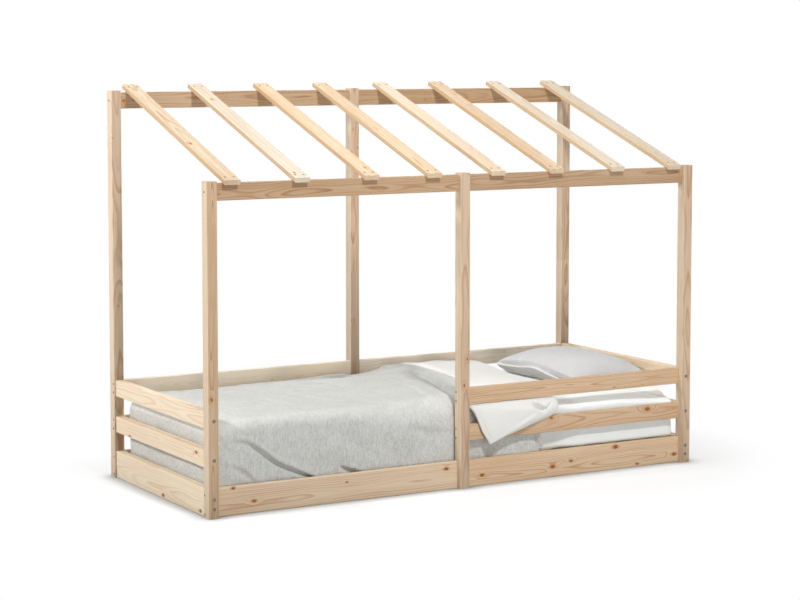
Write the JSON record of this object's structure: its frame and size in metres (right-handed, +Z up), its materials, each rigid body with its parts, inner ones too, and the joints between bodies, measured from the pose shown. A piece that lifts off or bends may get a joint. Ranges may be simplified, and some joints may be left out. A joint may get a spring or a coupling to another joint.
{
  "type": "kids house bed",
  "caption": "Pine kids house bed with a sloping slatted roof, bolted ends, guard rails along the head half, a slatted base, mattress, duvet with a turned-back edge, and pillow",
  "frame": {"origin": "on the floor, below the middle of the bed's bounding box", "axes": "+Z up, +X along the bed towards the head end, -Y towards the open front"},
  "size_m": [2.09, 0.9046, 1.4951],
  "materials": {
    "pine": "planed, unfinished",
    "base_pine": "sawn, unfinished",
    "dowel_beech": "smooth",
    "steel": "zinc plated",
    "ribbon": "woven tape",
    "sheet": "plain cotton",
    "duvet_cover": "heathered linen",
    "pillow_case": "plain linen"
  },
  "bodies": {
    "bed": {"front_post_foot": "pine", "front_post_middle": "pine", "front_post_head": "pine", "back_post_foot_lower": "pine", "back_post_foot_upper": "pine", "back_post_middle_lower": "pine", "back_post_middle_upper": "pine", "back_post_head_lower": "pine", "back_post_head_upper": "pine", "foot_plank": "pine", "foot_middle_rail": "pine", "foot_upper_rail": "pine", "head_plank": "pine", "head_middle_rail": "pine", "head_upper_rail": "pine", "front_plank_foot": "pine", "front_plank_head": "pine", "guard_rail_middle": "pine", "guard_rail_upper": "pine", "back_plank_foot": "pine", "back_middle_rail_foot": "pine", "back_upper_rail_foot": "pine", "back_plank_head": "pine", "back_middle_rail_head": "pine", "back_upper_rail_head": "pine", "front_header_foot": "pine", "front_header_head": "pine", "back_header_foot": "pine", "back_header_head": "pine", "roof_slat_1": "pine", "roof_slat_2": "pine", "roof_slat_3": "pine", "roof_slat_4": "pine", "roof_slat_5": "pine", "roof_slat_6": "pine", "roof_slat_7": "pine", "roof_slat_8": "pine", "ledger_front_foot": "base_pine", "ledger_front_head": "base_pine", "ledger_back_foot": "base_pine", "ledger_back_head": "base_pine", "base_slats": "base_pine", "base_ribbons": "ribbon", "corner_bolts": "steel", "barrel_nuts": "steel", "side_screws": "steel", "roof_screws": "steel", "ledger_screws": "steel", "rail_dowels": "dowel_beech", "splice_dowels": "dowel_beech", "mattress": "sheet", "duvet": "duvet_cover"},
    "pillow": {"pillow": "pillow_case"}
  },
  "joints": [
    {"name": "pillow_lift", "type": "slide", "parent": "bed", "child": "pillow", "axis": [0, 0, 1], "range_m": [0, 0.3]}
  ]
}
